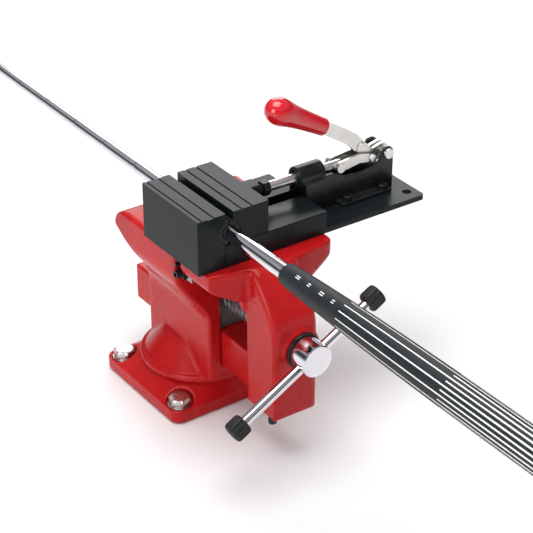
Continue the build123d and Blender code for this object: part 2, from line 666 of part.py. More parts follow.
with BuildPart() as clamp_bracket:
    # barrel that guides the plunger, on its pedestal
    with BuildSketch(Plane.YZ.offset(NOSE_X0)):
        with Locations((MID_Y, ROD_Z)):
            Circle(10.6)
    extrude(amount=NOSE_X1 - NOSE_X0)
    with BuildSketch(Plane.XZ.offset(-MID_Y - CHEEK_OUT)):
        with BuildLine():
            Polyline(
                (NOSE_X0 + 5, PLATE_TOP), (NOSE_X0 + 2.5, ROD_Z - 3), (NOSE_X1, ROD_Z - 1),
                (NOSE_X1, PLATE_TOP), close=True,
            )
        make_face()
    extrude(amount=2 * CHEEK_OUT)
    # floor and feet
    with BuildSketch(Plane.XY.offset(PLATE_TOP)):
        with Locations(((NOSE_X1 + BRACKET_REAR) / 2 - 2, MID_Y)):
            Rectangle(BRACKET_REAR - NOSE_X1 + 4, 2 * CHEEK_OUT)
        with Locations(((101 + 159) / 2, MID_Y)):
            RectangleRounded(159 - 101, 2 * 23, 3)
    extrude(amount=3.2)
    # side cheeks, each rising to an ear round the lever pivot
    for side in (-1, 1):
        with BuildSketch(Plane.XZ.offset(-MID_Y + side * CHEEK_IN)):
            with BuildLine():
                Polyline(
                    (NOSE_X1 - 3, PLATE_TOP), (NOSE_X1 - 3, 223), (96, 223), (112, 215.5), (129, 214.5),
                    (146, 216.5), (PIVOT_X - 6, PIVOT_Z), (PIVOT_X, PIVOT_Z), (PIVOT_X + 6.5, PIVOT_Z),
                    (BRACKET_REAR, PLATE_TOP), close=True,
                )
            make_face()
            with Locations((PIVOT_X, PIVOT_Z)):
                Circle(6.5)
        extrude(amount=side * (CHEEK_OUT - CHEEK_IN))
    with BuildSketch(Plane.YZ.offset(NOSE_X0)):
        with Locations((MID_Y, ROD_Z)):
            Circle(ROD_R + 0.08)
    extrude(amount=40, mode=Mode.SUBTRACT)
    with BuildSketch(Plane.XZ.offset(-MID_Y - 20)):
        with Locations((PIVOT_X, PIVOT_Z)):
            Circle(PIVOT_R + 0.02)
    extrude(amount=40, mode=Mode.SUBTRACT)
    with BuildSketch(Plane.XY.offset(PLATE_TOP)):
        with Locations(*CLAMP_SCREWS):
            Circle(2.7)
    extrude(amount=5, mode=Mode.SUBTRACT)
finish(clamp_bracket.part, "clamp_bracket")

with BuildPart() as clamp_screws:
    with BuildSketch(Plane.XY.offset(PLATE_TOP + 3.2)):
        with Locations(*CLAMP_SCREWS):
            Circle(4.2)
    extrude(amount=5)
    chamfer(clamp_screws.edges().group_by(Axis.Z)[-1], 0.5)
    with BuildSketch(Plane.XY.offset(PLATE_TOP + 8.2)):
        with Locations(*CLAMP_SCREWS):
            RegularPolygon(hex_radius(4), 6)
    extrude(amount=-2.5, mode=Mode.SUBTRACT)
    with BuildSketch(Plane.XY.offset(FIX_Z + 0.2)):
        with Locations(*CLAMP_SCREWS):
            Circle(2.5)
    extrude(amount=PLATE_T + 3)
finish(clamp_screws.part, "clamp_screws")


def round_bar(a, b, radius_a, radius_b):
    """Add to the current sketch a bar between two points with round ends of the given radii."""
    with Locations(a):
        first = Circle(radius_a, mode=Mode.PRIVATE)
    with Locations(b):
        second = Circle(radius_b, mode=Mode.PRIVATE)
    make_hull(first.edges() + second.edges())


MID_LINK = ((PIN_X + CRANK_X) / 2 + 4, 225.5)

with BuildPart() as side_links:
    for side in (-1, 1):
        with BuildSketch(Plane.XZ.offset(-MID_Y + side * 5.2)):
            round_bar((PIN_X, ROD_Z), MID_LINK, 5.2, 4.6)
            round_bar(MID_LINK, (CRANK_X, CRANK_Z), 4.6, LINK_END_R)
            with Locations((PIN_X, ROD_Z)):
                Circle(3.06, mode=Mode.SUBTRACT)
        extrude(amount=side * 2.5)
        with BuildSketch(Plane.XZ.offset(-MID_Y + side * 7.6)):
            with Locations((CRANK_X, CRANK_Z)):
                Circle(LINK_END_R - 0.1)
        extrude(amount=side * 2.5, taper=8)
finish(side_links.part, "side_links")

LEVER_PATH = [
    ((PIVOT_X, PIVOT_Z), 7.0), ((CRANK_X, CRANK_Z), 6.8), ((137, 232), 6.5), ((126, 244.5), 6.2),
    ((112, 253.5), 6.0), ((94, 265), 6.0), ((52, 290), 5.5),
]
FORK_HALF, STRAP_HALF = 4.7, 3.2

with BuildPart() as clamp_lever:
    with BuildSketch(Plane.XZ.offset(-MID_Y - STRAP_HALF)):
        for (start, start_r), (end, end_r) in zip(LEVER_PATH[1:], LEVER_PATH[2:]):
            round_bar(start, end, start_r, end_r)
    extrude(amount=2 * STRAP_HALF)
    with BuildSketch(Plane.XZ.offset(-MID_Y - FORK_HALF)):
        for (start, start_r), (end, end_r) in zip(LEVER_PATH[:2], LEVER_PATH[1:3]):
            round_bar(start, end, start_r, end_r)
    extrude(amount=2 * FORK_HALF)
    # slot that leaves a cheek on each side of the pivot
    with BuildSketch(Plane.XY.offset(PIVOT_Z - 12)):
        with Locations((143, MID_Y)):
            Rectangle(40, 3, align=(Align.MIN, Align.CENTER))
    extrude(amount=24, mode=Mode.SUBTRACT)
    with BuildSketch(Plane.XZ.offset(-MID_Y - 10)):
        with Locations((PIVOT_X, PIVOT_Z)):
            Circle(PIVOT_R + 0.06)
        with Locations((CRANK_X, CRANK_Z)):
            Circle(3.02)
    extrude(amount=20, mode=Mode.SUBTRACT)
finish(clamp_lever.part, "clamp_lever")

GRIP_MOUTH = Vector(93.8, MID_Y, 265.1)
GRIP_DIR = Vector(-cos(radians(30.5)), 0, sin(radians(30.5)))
GRIP_LENGTH = 71.0

with BuildPart() as lever_grip:
    with BuildSketch(Plane(origin=GRIP_MOUTH, x_dir=GRIP_DIR, z_dir=(0, 1, 0))):
        with BuildLine():
            Line((0, 0), (0, 8.4))
            Spline((0, 8.4), (22, 9.4), (46, 11.8), (60, 12.4), (GRIP_LENGTH, 0), tangents=((1, 0.02), (0, -1)))
            Line((GRIP_LENGTH, 0), (0, 0))
        make_face()
    revolve(axis=Axis(GRIP_MOUTH, GRIP_DIR))
    with BuildSketch(Plane.XZ.offset(-MID_Y - STRAP_HALF)):
        round_bar(LEVER_PATH[-2][0], LEVER_PATH[-1][0], LEVER_PATH[-2][1], LEVER_PATH[-1][1])
    extrude(amount=2 * STRAP_HALF, mode=Mode.SUBTRACT)
finish(lever_grip.part, "lever_grip")

# ---------------------------------------------------------------- golf club
TAPER_RADII = (6.9, 6.2, 5.8, 5.45, 5.15, 4.9, 4.7)
SHAFT_WALL = 0.7
NECK_DOWN_Y = FIX_Y - 78.0     # start of the long cone that runs into the blocks
NECK_DOWN = 70.0                # length of that cone
SHAFT_BUTT_Y = CAP_Y + 9

with BuildPart() as shaft:
    with BuildSketch(Plane.YZ.offset(CLUB_X)):
        outer = [(SHAFT_BUTT_Y, BUTT_R), (NECK_DOWN_Y, BUTT_R)]
        step_y = NECK_DOWN_Y
        for number, radius in enumerate(TAPER_RADII):
            step_y = NECK_DOWN_Y if number == 0 else FIRST_STEP + (number - 1) * STEP_PITCH + 6
            cone = NECK_DOWN if number == 0 else 2.5
            outer.append((step_y + cone, radius))
            if number < len(TAPER_RADII) - 1:
                outer.append((FIRST_STEP + number * STEP_PITCH + 6, radius))
        outer.append((TIP_Y, TAPER_RADII[-1]))
        inner = [(y, radius - SHAFT_WALL) for y, radius in reversed(outer)]
        with BuildLine():
            Polyline(*[(y, CLUB_Z + radius) for y, radius in outer + inner], close=True)
        make_face()
    revolve(axis=CLUB_AXIS)
finish(shaft.part, "shaft")

with BuildPart() as grip_tape:
    with BuildSketch(Plane.XZ.offset(-SHAFT_BUTT_Y)):
        with Locations((CLUB_X, CLUB_Z)):
            Circle(TAPE_R)
            Circle(BUTT_R + 0.02, mode=Mode.SUBTRACT)
    extrude(amount=SHAFT_BUTT_Y - MOUTH_Y + 3)
finish(grip_tape.part, "grip_tape")

SLEEVE_PROFILE = [(MOUTH_Y, 9.9), (MOUTH_Y - 40, 11.6), (MOUTH_Y - 140, 14.3), (CAP_Y + 7, 15.5)]


def sleeve_curve(lift):
    """The grip's outline beside the shaft axis, raised by lift."""
    return [(y, CLUB_Z + radius + lift) for y, radius in SLEEVE_PROFILE]


with BuildPart() as grip_sleeve:
    with BuildSketch(Plane.YZ.offset(CLUB_X)):
        with BuildLine():
            Spline(*sleeve_curve(0))
            Line(sleeve_curve(0)[-1], (CAP_Y + 7, CLUB_Z + TAPE_R + 0.02))
            Line((CAP_Y + 7, CLUB_Z + TAPE_R + 0.02), (MOUTH_Y, CLUB_Z + TAPE_R + 0.02))
            Line((MOUTH_Y, CLUB_Z + TAPE_R + 0.02), (MOUTH_Y, CLUB_Z + 9.9))
        make_face()
    revolve(axis=CLUB_AXIS)
finish(grip_sleeve.part, "grip_sleeve")

VENT_R = 1.5

with BuildPart() as grip_cap:
    with BuildSketch(Plane.YZ.offset(CLUB_X)):
        with BuildLine():
            Line((CAP_Y + 7, CLUB_Z + VENT_R), (CAP_Y + 7, CLUB_Z + 15.5))
            ThreePointArc((CAP_Y + 7, CLUB_Z + 15.5), (CAP_Y + 2.2, CLUB_Z + 12.5), (CAP_Y, CLUB_Z + VENT_R))
            Line((CAP_Y, CLUB_Z + VENT_R), (CAP_Y + 7, CLUB_Z + VENT_R))
        make_face()
    revolve(axis=CLUB_AXIS)
finish(grip_cap.part, "grip_cap")

LINE_COUNT = 12
LONG_LINE_Y = FIX_Y - 168
SHORT_LINE_Y = FIX_Y - 298
PAINT_LOW, PAINT_HIGH = 0.02, 0.25

with BuildPart() as grip_lines:
    with BuildSketch(Plane.YZ.offset(CLUB_X)):
        with BuildLine():
            Spline(*sleeve_curve(PAINT_LOW))
            Line(sleeve_curve(PAINT_LOW)[-1], sleeve_curve(PAINT_HIGH)[-1])
            Spline(*sleeve_curve(PAINT_HIGH))
            Line(sleeve_curve(PAINT_HIGH)[0], sleeve_curve(PAINT_LOW)[0])
        make_face()
    revolve(axis=CLUB_AXIS)
    blades = []
    for number in range(2 * LINE_COUNT):
        start = LONG_LINE_Y if number % 2 == 0 else SHORT_LINE_Y
        blade = Box(1.5, start - CAP_Y - 8, 20, align=(Align.CENTER, Align.MAX, Align.MIN), mode=Mode.PRIVATE)
        blades.append(Pos(CLUB_X, start, CLUB_Z) * Rot(0, 360 / (2 * LINE_COUNT) * number, 0) * blade)
    add(blades, mode=Mode.INTERSECT)
finish(grip_lines.part, "grip_lines")
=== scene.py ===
# %% [markdown]
# # A golf club regripping station
# A red bench vise holds a black clamp, and the clamp holds a golf club by its steel shaft while its grip
# is changed. The CAD model is loaded first. It fixes where everything is and what moves with what, and
# the cells below only give each piece its finish or a finer shape.
# %% Load the frame
import json
from math import cos, pi, radians, sin, tau

import bmesh
import bpy
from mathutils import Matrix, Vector


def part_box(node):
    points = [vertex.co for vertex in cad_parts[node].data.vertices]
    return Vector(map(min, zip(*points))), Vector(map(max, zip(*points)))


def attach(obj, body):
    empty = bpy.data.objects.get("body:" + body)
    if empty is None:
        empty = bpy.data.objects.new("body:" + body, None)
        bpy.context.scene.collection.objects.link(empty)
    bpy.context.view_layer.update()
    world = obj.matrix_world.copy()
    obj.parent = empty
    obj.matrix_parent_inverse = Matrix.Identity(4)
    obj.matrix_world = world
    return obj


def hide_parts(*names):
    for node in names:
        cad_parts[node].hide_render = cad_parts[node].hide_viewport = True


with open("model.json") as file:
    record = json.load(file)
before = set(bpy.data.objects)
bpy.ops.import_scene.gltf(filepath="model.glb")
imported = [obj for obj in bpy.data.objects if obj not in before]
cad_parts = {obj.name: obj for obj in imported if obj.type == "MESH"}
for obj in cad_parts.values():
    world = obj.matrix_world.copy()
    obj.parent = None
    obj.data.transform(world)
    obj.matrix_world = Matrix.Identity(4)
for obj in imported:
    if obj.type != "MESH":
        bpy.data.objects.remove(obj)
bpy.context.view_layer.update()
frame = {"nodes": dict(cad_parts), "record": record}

NODES = frame["nodes"]
BODY_OF = {node: body for body, nodes in frame["record"]["behaviour"]["bodies"].items() for node in nodes}
SLOT_OF = {row["node"]: row["material_slot"] for row in frame["record"]["subparts"]}
MM = 0.001

# %% [markdown]
# ## Finishes
# Every finish is a Principled shader with procedural noise on top. Noise in object coordinates works in
# metres here, so a noise scale of 400 gives blotches of about 2.5 mm. A helper saves writing the same
# node tree again for every finish: a base colour that wanders between two tones, a roughness that
# wanders between two values, and a fine bump.
# %% The helper for finishes
FINISHES = {}
COAT_ROUGHNESS = 0.06
TONE_SPAN = (0.35, 0.65)
GLOSS_SPAN = (0.3, 0.7)
BLOTCH_DETAIL, GRAIN_DETAIL = 4, 3


def finish(name, tones, rough, metal=0.0, coat=0.0, gleam=0.5, blotch=60, grain=900, bump=0.1, depth=0.1,
           stretch=(1, 1, 1)):
    """A finish whose colour and roughness wander over blotches, with a fine grain in its bump."""
    mat = bpy.data.materials.new(name)
    mat.use_nodes = True
    tree = mat.node_tree
    shader = tree.nodes["Principled BSDF"]
    shader.inputs["Metallic"].default_value = metal
    shader.inputs["Coat Weight"].default_value = coat
    shader.inputs["Coat Roughness"].default_value = COAT_ROUGHNESS
    shader.inputs["Specular IOR Level"].default_value = gleam
    place = tree.nodes.new("ShaderNodeTexCoord")
    scaled = tree.nodes.new("ShaderNodeMapping")
    scaled.inputs["Scale"].default_value = stretch
    tree.links.new(place.outputs["Object"], scaled.inputs["Vector"])
    wander = tree.nodes.new("ShaderNodeTexNoise")
    wander.inputs["Scale"].default_value = blotch
    wander.inputs["Detail"].default_value = BLOTCH_DETAIL
    tree.links.new(scaled.outputs["Vector"], wander.inputs["Vector"])
    colours = tree.nodes.new("ShaderNodeValToRGB")
    for stop, position, tone in zip(colours.color_ramp.elements, TONE_SPAN, tones):
        stop.position = position
        stop.color = (*tone, 1)
    tree.links.new(wander.outputs["Fac"], colours.inputs["Fac"])
    tree.links.new(colours.outputs["Color"], shader.inputs["Base Color"])
    gloss = tree.nodes.new("ShaderNodeMapRange")
    gloss.inputs["From Min"].default_value, gloss.inputs["From Max"].default_value = GLOSS_SPAN
    gloss.inputs["To Min"].default_value, gloss.inputs["To Max"].default_value = rough
    tree.links.new(wander.outputs["Fac"], gloss.inputs["Value"])
    tree.links.new(gloss.outputs["Result"], shader.inputs["Roughness"])
    fine = tree.nodes.new("ShaderNodeTexNoise")
    fine.inputs["Scale"].default_value = grain
    fine.inputs["Detail"].default_value = GRAIN_DETAIL
    tree.links.new(scaled.outputs["Vector"], fine.inputs["Vector"])
    relief = tree.nodes.new("ShaderNodeBump")
    relief.inputs["Strength"].default_value = bump
    relief.inputs["Distance"].default_value = depth * MM
    tree.links.new(fine.outputs["Fac"], relief.inputs["Height"])
    tree.links.new(relief.outputs["Normal"], shader.inputs["Normal"])
    FINISHES[name] = mat


print("each finish blends two tones over noise values", TONE_SPAN)

# %% [markdown]
# The enamel on the vise is thick and glossy, so its noise is coarse: the sand-cast iron underneath shows
# as a slow waviness, not as dots. Chrome and zinc are pure metals that differ mostly in roughness. Black
# anodised aluminium keeps only a faint grain from the cutter, which the stretched noise draws. An
# image texture could hold each surface too, but noise needs no unwrapping and has no seams.
# %% The finishes
finish("red_enamel", [(0.43, 0.007, 0.008), (0.51, 0.011, 0.012)], (0.22, 0.32), coat=0.1, gleam=0.17,
       blotch=24, grain=150, bump=0.2, depth=0.4)
finish("chrome", [(0.68, 0.67, 0.70), (0.74, 0.73, 0.76)], (0.03, 0.06), metal=1, blotch=40,
       grain=500, bump=0.01)
finish("bright_zinc", [(0.50, 0.49, 0.47), (0.64, 0.63, 0.61)], (0.24, 0.36), metal=1, blotch=160,
       bump=0.08)
finish("clamp_zinc", [(0.66, 0.64, 0.61), (0.76, 0.74, 0.71)], (0.26, 0.36), metal=1, blotch=90,
       bump=0.03)
finish("jaw_steel", [(0.28, 0.28, 0.29), (0.42, 0.42, 0.43)], (0.3, 0.45), metal=1, blotch=120,
       bump=0.1)
finish("screw_steel", [(0.2, 0.2, 0.21), (0.34, 0.34, 0.35)], (0.25, 0.4), metal=1, blotch=200,
       bump=0.1)
finish("cast_nut", [(0.09, 0.09, 0.09), (0.15, 0.14, 0.14)], (0.5, 0.65), metal=0.6, blotch=200,
       bump=0.4)
finish("black_oxide", [(0.006, 0.006, 0.007), (0.014, 0.014, 0.016)], (0.28, 0.4), gleam=0.35,
       blotch=160, bump=0.1)
finish("black_anodised", [(0.008, 0.011, 0.012), (0.011, 0.014, 0.015)], (0.25, 0.29), gleam=0.13,
       blotch=14, grain=700, bump=0.02, depth=0.03, stretch=(1, 3, 3))
finish("black_casting", [(0.006, 0.007, 0.008), (0.013, 0.014, 0.015)], (0.22, 0.32), gleam=0.35,
       blotch=60, grain=300, bump=0.12, depth=0.2)
finish("black_rubber", [(0.012, 0.012, 0.012), (0.02, 0.02, 0.02)], (0.5, 0.62), gleam=0.3,
       blotch=140, grain=1400, bump=0.2)
finish("grip_rubber", [(0.012, 0.015, 0.017), (0.019, 0.023, 0.025)], (0.46, 0.56), gleam=0.3,
       blotch=120, grain=1600, bump=0.3)
finish("grip_tape", [(0.62, 0.58, 0.46), (0.7, 0.66, 0.55)], (0.6, 0.75), blotch=200, bump=0.2)
finish("red_vinyl", [(0.58, 0.006, 0.012), (0.66, 0.01, 0.018)], (0.14, 0.22), coat=0.7, gleam=0.4,
       blotch=30, grain=90, bump=0.08, depth=0.4)
finish("white_paint", [(0.78, 0.8, 0.8), (0.86, 0.87, 0.87)], (0.4, 0.5), blotch=200, bump=0.1)
print(len(FINISHES), "finishes")


# %% [markdown]
# ## Giving pieces their finish, or a finer shape
# Three ways of making a piece are used again and again. A simple machined piece keeps its CAD mesh and
# only changes its material. A piece whose edges catch the light is copied, and a narrow bevel breaks
# its edges as a file would. A casting is copied, remeshed into small even faces and smoothed, which
# rounds every edge and corner the way poured iron is rounded.
# %% Helpers for pieces
JOIN_DISTANCE = 0.005 * MM
FLAT_ANGLE, SHARP_ANGLE = radians(1), radians(40)


def dress(node):
    """Give a CAD node its finish."""
    node_mesh = NODES[node].data
    node_mesh.materials.clear()
    node_mesh.materials.append(FINISHES[SLOT_OF[node]])


def settle(piece, nodes, slot=None):
    """Put a new piece in place of CAD nodes, on their body and in their finish."""
    slot = slot or SLOT_OF[nodes[0]]
    piece.data.materials.clear()
    piece.data.materials.append(FINISHES[slot])
    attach(piece, BODY_OF[nodes[0]])
    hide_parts(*nodes)
    return piece


def new_piece(name, form):
    """A scene object from a bmesh."""
    bmesh.ops.recalc_face_normals(form, faces=form.faces)
    mesh = bpy.data.meshes.new(name)
    form.to_mesh(mesh)
    form.free()
    for face in mesh.polygons:
        face.use_smooth = True
    piece = bpy.data.objects.new(name, mesh)
    bpy.context.scene.collection.objects.link(piece)
    return piece


def copied_form(node, whole_faces=True):
    """A clean bmesh of a CAD node: joined up, and with its flat faces whole again if asked."""
    form = bmesh.new()
    form.from_mesh(NODES[node].data)
    bmesh.ops.remove_doubles(form, verts=form.verts, dist=JOIN_DISTANCE)
    if whole_faces:
        bmesh.ops.dissolve_limit(form, angle_limit=FLAT_ANGLE, verts=form.verts, edges=form.edges)
    return form


def bevelled(node, width=0.4, segments=2, angle=28):
    """A copy of a CAD node with its edges broken by a narrow bevel."""
    piece = new_piece(node + "_shape", copied_form(node))
    piece.data.set_sharp_from_angle(angle=SHARP_ANGLE)
    edge = piece.modifiers.new("edges", "BEVEL")
    edge.width = width * MM
    edge.segments = segments
    edge.limit_method = "ANGLE"
    edge.angle_limit = radians(angle)
    edge.harden_normals = True
    edge.use_clamp_overlap = True
    return settle(piece, [node])


print("finishes wait for", len(set(SLOT_OF.values())), "material slots")

# %% [markdown]
# A casting could be bevelled too, but a bevel gives every edge the same narrow strip, and poured iron
# has soft corners and fillets of many sizes. Remeshing and smoothing gives those. A pocket that the
# pattern maker would leave in the side of a casting is cut first, so its rim is rounded as well.
# %% Helpers for castings
def side_pocket(outline, x0, x1):
    """A closed prism that cuts a pocket: an outline seen from the side, from x0 to x1, in mm."""
    form = bmesh.new()
    ends = [[form.verts.new((x * MM, y * MM, z * MM)) for y, z in outline] for x in (x0, x1)]
    for ring in ends:
        form.faces.new(ring)
    for number in range(len(outline)):
        after = (number + 1) % len(outline)
        form.faces.new((ends[0][number], ends[0][after], ends[1][after], ends[1][number]))
    return new_piece("pocket_cutter", form)


def cast(node, voxel=1.0, rounds=12, pockets=()):
    """A copy of a CAD node, with its pockets cut, remeshed finely and smoothed."""
    piece = new_piece(node + "_casting", copied_form(node, whole_faces=False))
    cutters = [side_pocket(*pocket) for pocket in pockets]
    for cutter in cutters:
        cut = piece.modifiers.new("pocket", "BOOLEAN")
        cut.operation = "DIFFERENCE"
        cut.solver = "EXACT"
        cut.object = cutter
    remesh = piece.modifiers.new("even faces", "REMESH")
    remesh.mode = "VOXEL"
    remesh.voxel_size = voxel * MM
    smooth = piece.modifiers.new("rounded", "SMOOTH")
    smooth.factor = 0.5
    smooth.iterations = rounds
    shown = piece.evaluated_get(bpy.context.evaluated_depsgraph_get())
    mesh = bpy.data.meshes.new_from_object(shown)
    piece.modifiers.clear()
    piece.data = mesh
    for cutter in cutters:
        bpy.data.objects.remove(cutter)
    for face in mesh.polygons:
        face.use_smooth = True
    print(node, "casting has", len(mesh.polygons), "faces")
    return settle(piece, [node])


# %% [markdown]
# A turned piece is a profile spun round an axis. The profile is a list of (distance along the axis,
# radius), and a shape function may change the radius with the angle, for flutes and threads. Blender's
# Screw modifier could spin a profile as well, but it has no such function.
# %% Helper for turned pieces
def turned(name, profile, start, along, nodes, sides=64, shape=None, slot=None, sharp=32):
    """A piece spun round the axis that runs from start along a direction."""
    along = Vector(along).normalized()
    across = along.orthogonal().normalized()
    third = along.cross(across)
    form = bmesh.new()
    rings = []
    for far, radius in profile:
        centre = Vector(start) + along * far
        ring = []
        for side in range(sides if radius > 0 else 1):
            angle = tau * side / sides
            reach = shape(far, radius, angle) if shape else radius
            ring.append(form.verts.new(centre + (across * cos(angle) + third * sin(angle)) * reach))
        rings.append(ring)
    for near, far in zip(rings, rings[1:]):
        for side in range(sides):
            after = (side + 1) % sides
            corners = [near[side % len(near)], near[after % len(near)],
                       far[after % len(far)], far[side % len(far)]]
            corners = list(dict.fromkeys(corners))
            if len(corners) > 2:
                form.faces.new(corners)
    piece = new_piece(name, form)
    piece.data.set_sharp_from_angle(angle=radians(sharp))
    return settle(piece, nodes, slot)


def centre_of(node):
    """The middle of a CAD node's box."""
    low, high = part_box(node)
    return (low + high) / 2


print("the handle bar's middle is at", tuple(round(value, 4) for value in centre_of("handle_bar")))

# %% [markdown]
# ## The vise's castings
# The swivel base, the fixed jaw and the moving jaw are grey iron cast in sand and sprayed with enamel.
# No edge on them is sharp, so all three are made the casting way. The moving jaw's arm also has a shallow
# pocket in each side, which leaves an arched rim along its front, so two prisms are cut from it first.
# %% Castings
cast("swivel_base", voxel=1.0, rounds=14)
cast("fixed_jaw_body", voxel=1.1, rounds=20)
ARM_POCKET = [(-117, 152), (-136, 156), (-149, 149), (-157, 134), (-159.5, 115), (-159.5, 36),
              (-104, 36), (-104, 126), (-117, 140)]
ARM_LEFT, ARM_RIGHT, POCKET_DEPTH, CUTTER_MARGIN = -29.0, 20.0, 3.0, 3.0
left_pocket = (ARM_POCKET, ARM_LEFT - CUTTER_MARGIN, ARM_LEFT + POCKET_DEPTH)
right_pocket = (ARM_POCKET, ARM_RIGHT - POCKET_DEPTH, ARM_RIGHT + CUTTER_MARGIN)
cast("moving_jaw_body", voxel=1.1, rounds=16, pockets=[left_pocket, right_pocket])
cast("arm_foot", voxel=0.5, rounds=4)

# %% [markdown]
# ## Bolts
# A real bolt head isn't a plain hexagon. Its corners are turned off at about 30 degrees, which leaves
# a curved line on each flat, and it stands on a thin round washer face. A six-sided cylinder with a
# bevel has none of that. Spinning a profile and limiting its radius to the hexagon gives exactly
# those curves.
# %% Hexagon bolt heads
UP = (0, 0, 1)
WASHER_FACE, WASHER_FACE_HEIGHT = 0.94, 0.5
CORNER_TURNED_OFF, TOP_ROUNDING = 1.6, 0.15


def hex_limit(flat):
    """A shape function that keeps a turned piece inside a hexagon of that width across flats."""
    def reach(far, radius, angle):
        off_flat = (angle + pi / 6) % (pi / 3) - pi / 6
        return min(radius, flat / 2 / cos(off_flat))
    return reach


def hex_bolts(node, spots, seat, flat, height, shank, length):
    """Hexagon bolts whose heads stand on the height seat. All sizes are in mm, the spots in m."""
    corner = flat / 2 / cos(pi / 6)
    face = flat / 2 * WASHER_FACE
    profile = [(-length, 0), (-length, shank - 1), (-length + 1, shank), (0, shank), (0, face),
               (WASHER_FACE_HEIGHT, face), (WASHER_FACE_HEIGHT, corner),
               (height - CORNER_TURNED_OFF, corner), (height - TOP_ROUNDING, face),
               (height, face - 0.5), (height, 0)]
    in_metres = [(far * MM, radius * MM) for far, radius in profile]
    for number, (x, y) in enumerate(spots):
        turned(f"{node}_{number}", in_metres, (x, y, seat * MM), UP, [node], sides=96,
               shape=hex_limit(flat * MM))


BOLT_X, BOLT_Y = 0.057, 0.050
LOCK_REACH = 0.0475
BENCH_SPOTS = [(x, y) for x in (-BOLT_X, BOLT_X) for y in (-BOLT_Y, BOLT_Y)]
LOCK_SPOTS = [(LOCK_REACH, 0), (0, LOCK_REACH)]
hex_bolts("bench_bolts", BENCH_SPOTS, seat=14.0, flat=19.0, height=7.5, shank=6.0, length=13.6)
hex_bolts("swivel_lock_bolts", LOCK_SPOTS, seat=33.0, flat=13.0, height=6.0, shank=4.0, length=17.0)
print("bench bolt heads at", BENCH_SPOTS)

# %% [markdown]
# ## The vise screw
# The CAD model has rings for a thread. A visible thread should climb, so this one is a true helix with
# the flat-topped profile of a vise screw. Each vertex of a tube is pushed in or out by where it is
# along one turn of the thread, which keeps the screw one closed mesh. A thread wound from a swept
# ribbon would have to be joined to the core.
# %% Main screw
screw_low, screw_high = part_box("main_screw")
SCREW_LENGTH = screw_high.y - screw_low.y
SCREW_SPOT = (0.0, screw_low.y, 0.113)
PITCH = 0.006
CREST, ROOT = 0.011, 0.009
PLAIN = 0.062
CREST_END, ROOT_START, ROOT_END = 0.38, 0.5, 0.88


def thread_radius(far, radius, angle):
    """Flat crests and roots with sloping flanks, climbing once every turn."""
    if far < PLAIN or radius < CREST:
        return radius
    turn = (far / PITCH - angle / tau) % 1
    if turn < CREST_END:
        height = 1.0
    elif turn < ROOT_START:
        height = 1 - (turn - CREST_END) / (ROOT_START - CREST_END)
    elif turn < ROOT_END:
        height = 0.0
    else:
        height = (turn - ROOT_END) / (1 - ROOT_END)
    fade = min(1.0, (far - PLAIN) / PITCH)
    return CREST - (CREST - ROOT) * (1 - height) * fade


THREAD_STEPS = 24
ALONG_CLUB = (0, 1, 0)
screw_profile = [(0.0, 0.0), (0.0, CREST)]
steps = int((SCREW_LENGTH - PLAIN) / PITCH * THREAD_STEPS)
screw_profile += [(PLAIN + step * PITCH / THREAD_STEPS, CREST) for step in range(steps)]
screw_profile += [(SCREW_LENGTH - 0.0005, ROOT - 0.0005), (SCREW_LENGTH, ROOT - 0.0015),
                  (SCREW_LENGTH, 0.0)]
turned("main_screw_helix", screw_profile, SCREW_SPOT, ALONG_CLUB, ["main_screw"], sides=40,
       shape=thread_radius)
print("screw turns", round((SCREW_LENGTH - PLAIN) / PITCH, 1))

# %% [markdown]
# ## Screw head and handle
# The head is a chromed barrel with a slightly domed front and rounded rims, and it has a hole right
# through it for the handle bar. Copying the CAD node keeps the hole. The bar is turned from bright
# steel, and its caps are moulded in black plastic with ten shallow finger flutes. Cutting ten grooves
# with booleans would leave sharp edges, so the caps are spun with a radius that dips ten times a turn.
# %% Head, collar, bar and caps
bevelled("screw_head", width=0.8, segments=3)
bevelled("thrust_collar", width=0.5)
bevelled("screw_retaining_ring")

HANDLE_TILT = radians(29.5)
HANDLE_AXIS = Vector((cos(HANDLE_TILT), 0, sin(HANDLE_TILT)))
bar_centre = centre_of("handle_bar")
BAR_HALF, BAR_R, BAR_CHAMFER = 0.087, 0.005, 0.0008
bar_profile = [(-BAR_HALF, 0), (-BAR_HALF, BAR_R - BAR_CHAMFER), (-BAR_HALF + BAR_CHAMFER, BAR_R),
               (BAR_HALF - BAR_CHAMFER, BAR_R), (BAR_HALF, BAR_R - BAR_CHAMFER), (BAR_HALF, 0)]
turned("handle_bar_turned", bar_profile, bar_centre, HANDLE_AXIS, ["handle_bar"], sides=72)

CAP_LENGTH, CAP_R, CAP_REACH = 0.016, 0.0100, 0.083
FLUTES, FLUTE_DEPTH, FLUTED_FROM = 10, 0.0009, 0.008


def fluted(far, radius, angle):
    """Ten shallow flutes that fade out at the cap's rounded ends."""
    dip = max(0.0, cos(angle * FLUTES)) ** 3
    return radius - FLUTE_DEPTH * dip * (radius > FLUTED_FROM)


half = CAP_LENGTH / 2
cap_profile = [(-half, BAR_R), (-half, 0.0078), (-half + 0.0006, 0.0090), (-half + 0.0018, 0.0098),
               (-half + 0.004, CAP_R), (half - 0.004, CAP_R), (half - 0.0018, 0.0098),
               (half - 0.0006, 0.0090), (half, 0.0078), (half, 0.0062), (half - 0.0006, 0.0056),
               (half - 0.0006, 0.0)]
for side, name in ((-1, "left"), (1, "right")):
    turned("handle_cap_" + name, cap_profile, bar_centre + HANDLE_AXIS * side * CAP_REACH,
           HANDLE_AXIS * side, ["handle_caps"], sides=120, shape=fluted)
print("handle bar is", round(2 * BAR_HALF / MM), "mm long, with", FLUTES, "flutes on each cap")

